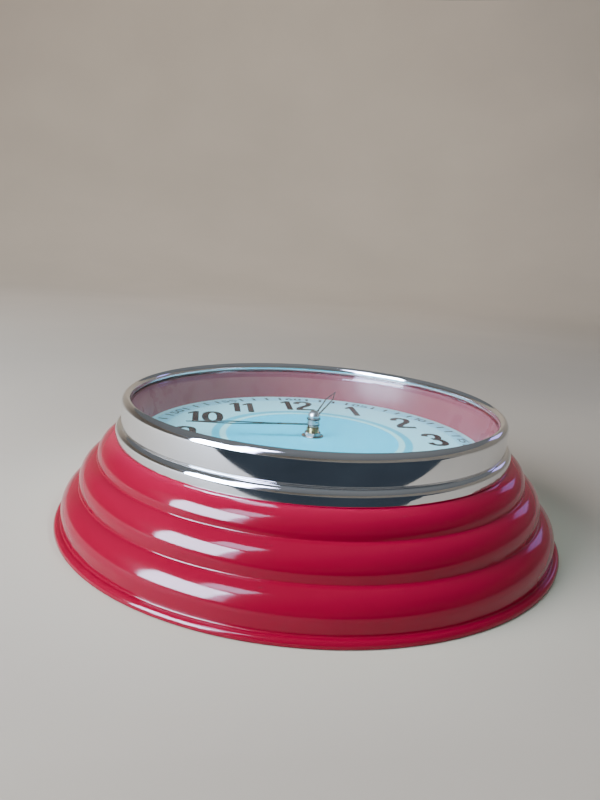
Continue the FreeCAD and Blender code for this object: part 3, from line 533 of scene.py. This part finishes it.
# one finish for each slot of the record, and "satin" for the cap nut
MATERIALS = {
    "red_plastic": red_plastic(),
    "chrome": chrome(),
    "glass": flat_glass(),
    "vinyl": moulded("gasket_vinyl", (0.50, 0.50, 0.47), (0.62, 0.62, 0.58), 0.35, 0.5, 500, 0.01),
    "dial_print": dial_print(),
    "steel": plain_metal("zinc_steel", (0.50, 0.50, 0.49), (0.66, 0.66, 0.64), 0.18, 0.38),
    "black_plastic": moulded("movement_plastic", (0.010, 0.010, 0.011), (0.020, 0.020, 0.022), 0.35, 0.55),
    "brass": turned_metal("turned_brass", (0.34, 0.29, 0.11), (0.56, 0.50, 0.24), 0.16, 0.3),
    "rubber": moulded("soft_rubber", (0.014, 0.014, 0.014), (0.03, 0.03, 0.03), 0.6, 0.8, 1200, 0.03),
    "satin": plain_metal("satin_cap", (0.60, 0.60, 0.59), (0.72, 0.72, 0.70), 0.26, 0.40),
    "nickel": plain_metal("nickel_plate", (0.30, 0.30, 0.29), (0.44, 0.43, 0.42), 0.16, 0.30),
    "battery_jacket": cell_jacket(),
    "board": circuit_board(),
    "stator_iron": plain_metal("stator_iron", (0.24, 0.24, 0.25), (0.36, 0.36, 0.37), 0.3, 0.5),
    "white_plastic": moulded("acetal", (0.62, 0.62, 0.58), (0.74, 0.74, 0.70), 0.35, 0.5, 700, 0.01),
    "copper": wound_wire(),
    "magnet": plain_metal("sintered_magnet", (0.10, 0.10, 0.11), (0.18, 0.18, 0.19), 0.4, 0.6, 500, 0.02),
    "hand_black": hand_lacquer(),
}
INK = ink()


def finish_cad_nodes():
    """Every carried-over node gets its slot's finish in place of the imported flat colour."""
    for name, item in NODES.items():
        item.data.materials.clear()
        item.data.materials.append(MATERIALS[SLOT_OF[name]])


# ---- case, bezel, glass ----

NECK_TOP = 68.4
SEAT_HEIGHT = 50.1


def round_over(step, rise):
    """The radius of an arc that leaves a wall upright and comes in by step over its rise."""
    return (rise * rise + step * step) / (2 * step)


def case_section():
    """The stepped outside, the neck inside the bezel, then the inside face back to the rim."""
    tiers = [(152.4, 0, 1.2), (148.5, 3.3, 6.2), (138.5, 22.0, 3.9), (128.5, 38.0, 1.5),
             (118.1, SEAT_HEIGHT, 0)]
    fillet, fillet_reach = 0.8, 0.72
    corners = [tiers[0][:2]]
    for (radius, foot, wall), (next_radius, next_foot, _) in zip(tiers, tiers[1:]):
        if foot > 0:
            corners.append((radius, foot + fillet))
        corners.append((radius, foot + wall, round_over(radius - next_radius, next_foot - foot - wall)))
        if next_foot < SEAT_HEIGHT:
            # the arc stops short of the next foot, and a small hollow fillet joins the two
            corners.append((next_radius + fillet_reach, next_foot, -fillet))
    corners += [(118.1, SEAT_HEIGHT), (113.4, SEAT_HEIGHT), (113.4, NECK_TOP), (111.2, NECK_TOP),
                (111.2, 48.9), (4.05, 48.9), (4.05, 46.4), (121.0, 46.4, -round_over(5.0, 7.9)),
                (126.0, 38.5),
                (126.0, 35.5, -round_over(10, 9.6)), (136.0, 25.9), (136.0, 19.5, -round_over(10, 10.0)),
                (146.0, 9.5), (146.0, 0)]
    return soften(section(corners, 4), 0.25)


def make_case():
    """The shell, its ribs behind the dial and the two posts of the hanger plate."""
    rib_count, post_across, post_along = 12, 18, 130.3
    shell = lathe("case_body", case_section(), 360)
    stand_for(shell, "case_shell", MATERIALS["red_plastic"])
    bm = bmesh.new()
    for index in range(rib_count):
        block(bm, (42, -1, 42.4), (120, 1, 46.7), 2 * math.pi * (index + 0.5) / rib_count)
    ribs = bevelled(from_bmesh("case_ribs", bm), 0.3)
    beside(ribs, "case_shell", MATERIALS["red_plastic"])
    for side, name in ((-1, "left"), (1, "right")):
        wall = soften(section([(1.35, 3.5), (3.5, 3.5), (3.5, 34.5), (1.35, 34.5)]), 0.3)
        post = lathe(f"hanger_post_{name}", wall, 40, (side * post_across, post_along, 0))
        beside(post, "case_shell", MATERIALS["red_plastic"])


def bezel_section():
    """The lower band, the groove, the upright wall, the rounded bead and the lip over the gasket."""
    return soften(section([
        (113.7, SEAT_HEIGHT), (118.1, SEAT_HEIGHT, 1.0), (118.7, 50.9), (118.7, 54.8, round_over(2.5, 3.4)),
        (116.2, 58.2), (115.2, 58.4), (115.2, 58.9), (115.5, 59.3), (115.5, 70.5, round_over(3.2, 4.3)),
        (112.3, 74.8, 3.3), (109.8, 71.1), (109.8, 70.8), (113.7, 70.8),
    ], 5), 0.2)


def make_bezel():
    ring = lathe("bezel_ring", bezel_section(), 360)
    stand_for(ring, "bezel", MATERIALS["chrome"])


def make_lens():
    reach, top = 113.3, NECK_TOP + 2
    outline = section([(0, NECK_TOP), (reach, NECK_TOP), (reach, top), (0, top)])
    pane = lathe("lens_pane", soften(outline, 0.2), 256)
    stand_for(pane, "lens", MATERIALS["glass"])


def make_dial_ring():
    wall = section([(105.4, 49.7), (111.0, 49.7), (111.0, 50.9), (107.2, 50.9), (111.0, NECK_TOP),
                    (109.4, NECK_TOP)])
    ring = lathe("dial_well_ring", soften(wall, 0.25), 360)
    # the well ring's paler red is painted reflected light, not a different plastic
    stand_for(ring, "dial_ring", pale_red())


# ---- dial graphics ----

DIGIT_HIGH = 26.5
HALF = DIGIT_HIGH / 2
STROKE_SIDE = 4.4
STROKE_TOP = 3.8

# centre lines of each digit's curved strokes, and the corners of its straight ones, in millimetres
CURVES = {
    "0": [("ring", 0, 0, 4.9, HALF - 1.4)],
    "2": [("path", (-4.7, 5.4), (-4.0, 9.4), (-0.1, HALF - 1.4), (4.0, 9.7), (4.7, 6.0), (2.7, 0.9),
           (-1.9, -4.3), (-4.3, -8.6), (-4.6, -HALF + 0.6))],
    "3": [("path", (-4.6, 7.0), (-3.4, 10.6), (0.2, HALF - 1.4), (3.5, 10.3), (4.2, 6.6), (2.6, 2.4),
           (-1.6, 0.9)),
          ("path", (0.4, 1.1), (3.6, -0.9), (4.9, -5.6), (3.5, -10.0), (-0.2, -HALF + 1.4), (-4.0, -10.6),
           (-5.2, -7.0))],
    "5": [("path", (-4.4, 1.2), (-0.9, 3.0), (3.1, 1.7), (4.8, -4.1), (3.3, -9.9), (-0.4, -HALF + 1.4),
           (-4.0, -10.6), (-5.2, -7.0))],
    "6": [("ring", 0, -5.2, 4.8, 6.6), ("path", (-4.8, -5.2), (-4.4, 3.2), (-1.6, 8.6), (2.6, HALF - 0.6))],
    "8": [("ring", 0, 6.2, 4.0, 5.6), ("ring", 0, -5.8, 4.8, 6.1)],
    "9": [("ring", 0, 5.2, 4.8, 6.6), ("path", (4.8, 5.2), (4.4, -3.2), (1.6, -8.6), (-2.6, -HALF + 0.6))],
}
BARS = {
    "1": [[(-2.1, -HALF), (2.1, -HALF), (2.1, HALF), (-0.9, HALF), (-2.1, HALF - 1.2)],
          [(-2.0, 7.6), (-2.0, HALF - 1.2), (-5.2, 8.9), (-5.2, 5.2)]],
    "2": [[(-6.8, -HALF), (6.6, -HALF), (6.6, -HALF + 4.0), (-5.0, -HALF + 4.0)]],
    "4": [[(1.2, -HALF), (4.9, -HALF), (4.9, HALF), (1.2, HALF)],
          [(-6.6, -6.6), (6.6, -6.6), (6.6, -3.7), (-6.6, -3.7)],
          [(-6.6, -3.7), (-2.7, -3.7), (4.0, HALF), (1.2, HALF)]],
    "5": [[(-4.6, HALF - 3.0), (5.4, HALF - 3.0), (5.4, HALF), (-4.6, HALF)],
          [(-5.9, 0.3), (-2.7, 0.9), (-1.9, HALF), (-4.9, HALF)]],
    "7": [[(-6.3, HALF - 3.2), (6.4, HALF - 3.2), (6.4, HALF), (-6.3, HALF)],
          [(-3.2, -HALF), (0.8, -HALF), (6.4, HALF - 3.2), (2.6, HALF - 3.2)]],
}
# the digits' left and right edges, and the small shifts that even out the numerals round the dial
WIDE_SPAN = (-6.9, 6.9)
NARROW_SPANS = {"1": (-5.2, 2.1)}
DIGIT_GAP = 2.2
NUDGE = {1: 0.2, 2: 1.2, 3: 0.9, 10: 1.9, 11: -1.5, 12: 0.6}


def smooth_path(points, pieces=7):
    """A Catmull-Rom curve through the points."""
    knots = [Vector(point) for point in points]
    knots = [2 * knots[0] - knots[1]] + knots + [2 * knots[-1] - knots[-2]]
    made = []
    for before, start, end, after in zip(knots, knots[1:], knots[2:], knots[3:]):
        for index in range(pieces):
            t = index / pieces
            made.append(0.5 * (2 * start + (end - before) * t
                               + (2 * before - 5 * start + 4 * end - after) * t * t
                               + (3 * start - before - 3 * end + after) * t ** 3))
    return made + [knots[-2]]


def oval(x, y, wide, high, pieces=56):
    """A squarish oval, as bold clock numerals have."""
    made = []
    for index in range(pieces + 1):
        turn = 2 * math.pi * index / pieces
        across = math.copysign(abs(math.cos(turn)) ** 0.85, math.cos(turn))
        along = math.copysign(abs(math.sin(turn)) ** 0.85, math.sin(turn))
        made.append(Vector((x + wide * across, y + high * along)))
    return made


def ribbon(points):
    """Quads along a centre line, broad where it runs upright and thin where it runs level."""
    sides = []
    for index, point in enumerate(points):
        ahead = points[min(index + 1, len(points) - 1)] - points[max(index - 1, 0)]
        if points[0] == points[-1] and index in (0, len(points) - 1):
            ahead = points[1] - points[-2]
        ahead.normalize()
        half = (STROKE_TOP + (STROKE_SIDE - STROKE_TOP) * abs(ahead.y)) / 2
        across = Vector((-ahead.y, ahead.x)) * half
        sides.append((point - across, point + across))
    return [[a, c, d, b] for (a, b), (c, d) in zip(sides, sides[1:])]


def digit_shapes(digit):
    shapes = [[Vector(corner) for corner in corners] for corners in BARS.get(digit, [])]
    for kind, *values in CURVES.get(digit, []):
        shapes += ribbon(oval(*values) if kind == "ring" else smooth_path(values))
    return shapes


def number_shapes(text):
    """The polygons of a whole number, centred on its middle."""
    spans = [NARROW_SPANS.get(digit, WIDE_SPAN) for digit in text]
    width = sum(high - low for low, high in spans) + DIGIT_GAP * (len(text) - 1)
    left = -width / 2
    shapes = []
    for digit, (low, high) in zip(text, spans):
        shift = Vector((left - low, 0))
        shapes += [[corner + shift for corner in shape] for shape in digit_shapes(digit)]
        left += high - low + DIGIT_GAP
    return shapes


def print_shapes(bm, shapes, place, turn, scale, level):
    """Merge overlapping polygons into one flat sheet of ink, without thickness."""
    corners, faces = [], []
    for shape in shapes:
        faces.append(list(range(len(corners), len(corners) + len(shape))))
        corners += shape
    points, _, triangles, _, _, sources = delaunay_2d_cdt(corners, [], faces, 0, 1e-4)
    triangles = [triangle for triangle, source in zip(triangles, sources) if source]
    verts = []
    for point in points:
        x, y = point.x * scale[0], point.y * scale[1]
        px = place[0] + x * math.cos(turn) - y * math.sin(turn)
        py = place[1] + x * math.sin(turn) + y * math.cos(turn)
        verts.append(bm.verts.new((px * MM, py * MM, level * MM)))
    made = [bm.faces.new([verts[index] for index in triangle]) for triangle in triangles]
    loose = [vert for vert in verts if not vert.link_faces]
    bmesh.ops.delete(bm, geom=loose, context="VERTS")
    bmesh.ops.dissolve_limit(bm, angle_limit=math.radians(1), verts=[v for v in verts if v.is_valid],
                             edges=list({edge for face in made for edge in face.edges}))


def dial_place(clock_angle, radius):
    turn = math.radians(clock_angle)
    return radius * math.sin(turn), radius * math.cos(turn)


def make_numerals():
    """Flat hour numerals, small flat minute numbers every five minutes, and raised ticks between."""
    numeral_reach, number_reach = 78.6, 98.2
    number_scale = (0.40, 0.22)
    tick_inner, tick_outer, tick_half = 95.0, 101.2, 0.95
    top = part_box("dial_plate")[1].z / MM
    low, high = top + 0.01, top + 0.05
    for hour in range(1, 13):
        bm = bmesh.new()
        across, along = dial_place(30 * hour, numeral_reach)
        place = (across + NUDGE.get(hour, 0), along)
        print_shapes(bm, number_shapes(str(hour)), place, 0, (1, 1), low)
        beside(from_bmesh(f"numeral_{hour:02d}", bm), "dial_plate", INK)
    for mark in range(12):
        bm = bmesh.new()
        text = f"{5 * mark:02d}" if mark else "60"
        place = dial_place(30 * mark, number_reach)
        print_shapes(bm, number_shapes(text), place, -math.radians(30 * mark), number_scale, low)
        beside(from_bmesh(f"minute_number_{text}", bm), "dial_plate", INK)
    bm = bmesh.new()
    for minute in range(60):
        if minute % 5:
            turn = math.pi / 2 - math.radians(6 * minute)
            block(bm, (tick_inner, -tick_half, low), (tick_outer, tick_half, high), turn)
    beside(from_bmesh("minute_ticks", bm), "dial_plate", INK)


# ---- centre stack ----

def make_threaded_bush():
    """The bush with a real helical ridge where the nut runs."""
    low, high = (corner.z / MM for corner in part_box("threaded_bush"))
    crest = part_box("threaded_bush")[1].x / MM
    thread_low, thread_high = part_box("movement_case")[1].z / MM, high - 0.5
    pitch, depth, bore, lead, count = 0.75, 0.36, 2.56, 0.15, 48
    steps = round((thread_high - thread_low) / pitch * 8)

    def thread(turn, level):
        phase = (level / pitch - turn / (2 * math.pi)) % 1
        return crest - depth * (1 - abs(2 * phase - 1))

    bm = bmesh.new()
    rows = round_rows(bm, [(crest, low), (crest, thread_low - 0.05)], count)
    for step in range(steps + 1):
        level = thread_low + (thread_high - thread_low) * step / steps
        rows.append(ring_row(bm, lambda turn: thread(turn, level), level, count))
    inside = [(crest - 0.5, high), (bore + lead, high), (bore, high - lead), (bore, low)]
    rows += round_rows(bm, inside, count)
    bridge(bm, rows)
    stand_for(from_bmesh("bush_thread", bm, 60), "threaded_bush", MATERIALS["brass"])


def make_nut():
    """A hexagon nut whose corners are chamfered by a cone, top and bottom."""
    low, high = (corner.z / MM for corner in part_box("clamp_nut"))
    flats, cone, chamfer, bore, lead, count = 9.6, 5.05, 0.4, 3.96, 0.3, 72

    def hexagon(turn):
        away = (math.degrees(turn) + 30) % 60 - 30
        return flats / 2 / math.cos(math.radians(away))

    def trimmed(turn):
        return min(hexagon(turn), cone)

    bm = bmesh.new()
    shapes = [(trimmed, low), (hexagon, low + chamfer), (hexagon, high - chamfer), (trimmed, high)]
    rows = [ring_row(bm, shape, level, count) for shape, level in shapes]
    inside = [(bore + lead, high), (bore, high - lead), (bore, low + lead), (bore + lead, low)]
    rows += round_rows(bm, inside, count)
    bridge(bm, rows)
    stand_for(from_bmesh("clamp_nut_hex", bm, 30), "clamp_nut", MATERIALS["nickel"])


def make_cap():
    """The domed cap nut: a flat foot, a waist and a satin ball."""
    low, high = (corner.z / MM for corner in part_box("hand_cap"))
    ball, bore, bore_top, waist, pieces = 3.6, 1.2, low + 2.3, low + 0.95, 20
    middle = high - ball
    start = math.asin((waist - middle) / ball)
    points = [(bore, low), (2.5, low), (2.7, low + 0.15), (2.7, low + 0.5), (2.0, low + 0.7), (2.0, waist)]
    for piece in range(pieces):
        rise = start + (math.pi / 2 - start) * piece / pieces
        points.append((ball * math.cos(rise), middle + ball * math.sin(rise)))
    points += [(0, high), (0, bore_top), (bore, bore_top)]
    stand_for(lathe("cap_nut", points, 64, sharp=50), "hand_cap", MATERIALS["satin"])


# ---- back ----

def make_battery():
    """A cell as a film jacket with its steel ends showing."""
    low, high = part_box("battery")
    middle = (low + high) / 2
    half = (high.x - low.x) / 2 / MM
    shoulder = half - 1.2
    jacket = [(6.3, -half + 0.25), (7.25, -half + 0.25), (7.25, shoulder - 0.2), (6.0, shoulder - 0.2)]
    can = [(0, -half), (6.2, -half), (6.9, -half + 0.5), (6.9, shoulder - 0.5), (5.4, shoulder),
           (2.75, shoulder), (2.75, half), (0, half)]
    film = lathe("cell_jacket", soften(section(jacket), 0.45), 64)
    ends = lathe("cell_can", soften(section(can), 0.3), 64)
    turn = Matrix.Translation((0, middle.y, middle.z)) @ Matrix.Rotation(math.pi / 2, 4, "Y")
    for item in (film, ends):
        item.data.transform(turn)
    stand_for(film, "battery", MATERIALS["battery_jacket"])
    beside(ends, "battery", MATERIALS["nickel"])


# ---- stage ----

def floor_paper():
    """Pale matt paper with a faint shade variation."""
    finish = Finish("floor_paper", Roughness=0.9)
    tones = [(0.3, (0.48, 0.4128, 0.3408)), (0.7, (0.52, 0.4472, 0.3692))]
    finish.colour(finish.ramp(finish.noise(3, 3), tones))
    return finish.material


def make_floor():
    """A seamless round studio floor that sweeps up far from the object on every side."""
    flat, sweep, sink = 1600, 1200, 0.4
    points = [(0, 0), (flat, 0)]
    for angle in range(10, 91, 10):
        turn = math.radians(angle)
        points.append((flat + sweep * math.sin(turn), sweep - sweep * math.cos(turn)))
    floor = lathe("studio_floor", points, 96, sharp=60, closed=False)
    floor.data.materials.append(floor_paper())
    floor.location.z = -sink * MM


def make_flag():
    """A plain dark card on the floor in front of the clock, seen only in gloss, for the chrome to mirror."""
    left, right, near, far, level = -700, 700, -1100, -210, 0.5
    bm = bmesh.new()
    corners = [(left, near, level), (right, near, level), (right, far, level), (left, far, level)]
    bm.faces.new([bm.verts.new(Vector(corner) * MM) for corner in corners])
    flag = from_bmesh("front_flag", bm)
    finish = Finish("front_flag", Roughness=0.7, Specular_IOR_Level=0.0, Emission_Strength=1.0)
    finish.shader.inputs["Base Color"].default_value = (0, 0, 0, 1)
    shade = finish.ramp(finish.noise(7, 3), [(0.3, (0.036, 0.048, 0.064)), (0.7, (0.045, 0.060, 0.080))])
    finish.link(shade, finish.shader.inputs["Emission Color"])
    flag.data.materials.append(finish.material)
    flag.visible_camera = False
    flag.visible_diffuse = False
    flag.visible_shadow = False
    flag.visible_transmission = False


def direction(azimuth, elevation):
    """Azimuth 0 is towards the camera side, -Y, and 90 is +X."""
    turn, rise = math.radians(azimuth), math.radians(elevation)
    return Vector((math.sin(turn) * math.cos(rise), -math.cos(turn) * math.cos(rise), math.sin(rise)))


def make_light(name, azimuth, elevation, wide, high, power, colour, distance=1.5, shows=True, lights=True):
    """A soft rectangle that faces the middle of the clock, in metres and watts.

    shows: it is mirrored in gloss. lights: it shades surfaces.
    """
    lamp = bpy.data.lights.new(name, "AREA")
    lamp.shape = "RECTANGLE"
    lamp.size = wide
    lamp.size_y = high
    lamp.energy = power
    lamp.color = colour
    item = bpy.data.objects.new(name, lamp)
    aim = Vector((0, 0, 0.04))
    item.location = aim + direction(azimuth, elevation) * distance
    item.rotation_mode = "QUATERNION"
    item.rotation_quaternion = direction(azimuth, elevation).to_track_quat("Z", "Y")
    item.visible_glossy = shows
    item.visible_diffuse = lights
    bpy.context.scene.collection.objects.link(item)


def make_spot(name, place, aim, angle, soft, power, colour):
    """A spotlight that shades surfaces but is not mirrored in them."""
    lamp = bpy.data.lights.new(name, "SPOT")
    lamp.energy = power
    lamp.color = colour
    lamp.spot_size = math.radians(angle)
    lamp.spot_blend = soft
    lamp.shadow_soft_size = 0.12
    item = bpy.data.objects.new(name, lamp)
    item.location = place
    item.rotation_mode = "QUATERNION"
    item.rotation_quaternion = (Vector(place) - Vector(aim)).to_track_quat("Z", "Y")
    item.visible_glossy = False
    bpy.context.scene.collection.objects.link(item)


def make_lights():
    """Four soft boxes for the gloss, two that only shade, and spots for the dial and the backdrop."""
    make_light("window_pane", -60, 21, 0.86, 1.02, 215, (0.60, 0.74, 1.0), lights=False)
    make_light("window_edge", -41, 20, 0.14, 0.90, 6, (0.62, 0.62, 1.0), lights=False)
    make_light("window_upper", -48, 51, 0.42, 0.44, 13, (0.62, 0.66, 1.0), lights=False)
    make_light("window_right", 124, 20, 0.30, 0.30, 0.55, (0.40, 0.33, 1.0), lights=False)
    make_light("daylight", -74, 32, 0.95, 0.85, 46, (0.88, 0.95, 1.0), shows=False)
    make_light("ceiling", -80, 68, 2.4, 2.4, 5.5, (0.92, 0.97, 1.0), 1.9, shows=False)
    make_spot("dial_spot", (-0.25, -0.1, 1.5), (0, 0, 0.05), 8.6, 0.25, 100, (0.62, 0.98, 1.0))
    make_spot("well_spot", (0.6, -0.1, 1.2), (0, 0, 0.05), 8.6, 0.25, 90, (0.62, 0.96, 1.0))
    make_spot("backdrop_spot", (0, 0.5, 2.4), (0, 2.6, 0.3), 95, 1.0, 160, (1.0, 0.94, 0.88))


def make_world():
    """A dim even surround, a little lighter above."""
    world = bpy.data.worlds.new("studio")
    world.use_nodes = True
    tree = world.node_tree
    place = tree.nodes.new("ShaderNodeTexCoord")
    parts = tree.nodes.new("ShaderNodeSeparateXYZ")
    ramp = tree.nodes.new("ShaderNodeValToRGB")
    tree.links.new(place.outputs["Generated"], parts.inputs[0])
    tree.links.new(parts.outputs["Z"], ramp.inputs["Fac"])
    ramp.color_ramp.elements[0].color = (0.30, 0.30, 0.31, 1)
    ramp.color_ramp.elements[1].color = (0.62, 0.66, 0.70, 1)
    tree.links.new(ramp.outputs["Color"], tree.nodes["Background"].inputs["Color"])
    tree.nodes["Background"].inputs["Strength"].default_value = 0.32
    bpy.context.scene.world = world


make_camera()
finish_cad_nodes()
make_case()
make_bezel()
make_lens()
make_dial_ring()
make_numerals()
make_threaded_bush()
make_nut()
make_cap()
make_battery()
make_floor()
make_flag()
make_lights()
make_world()
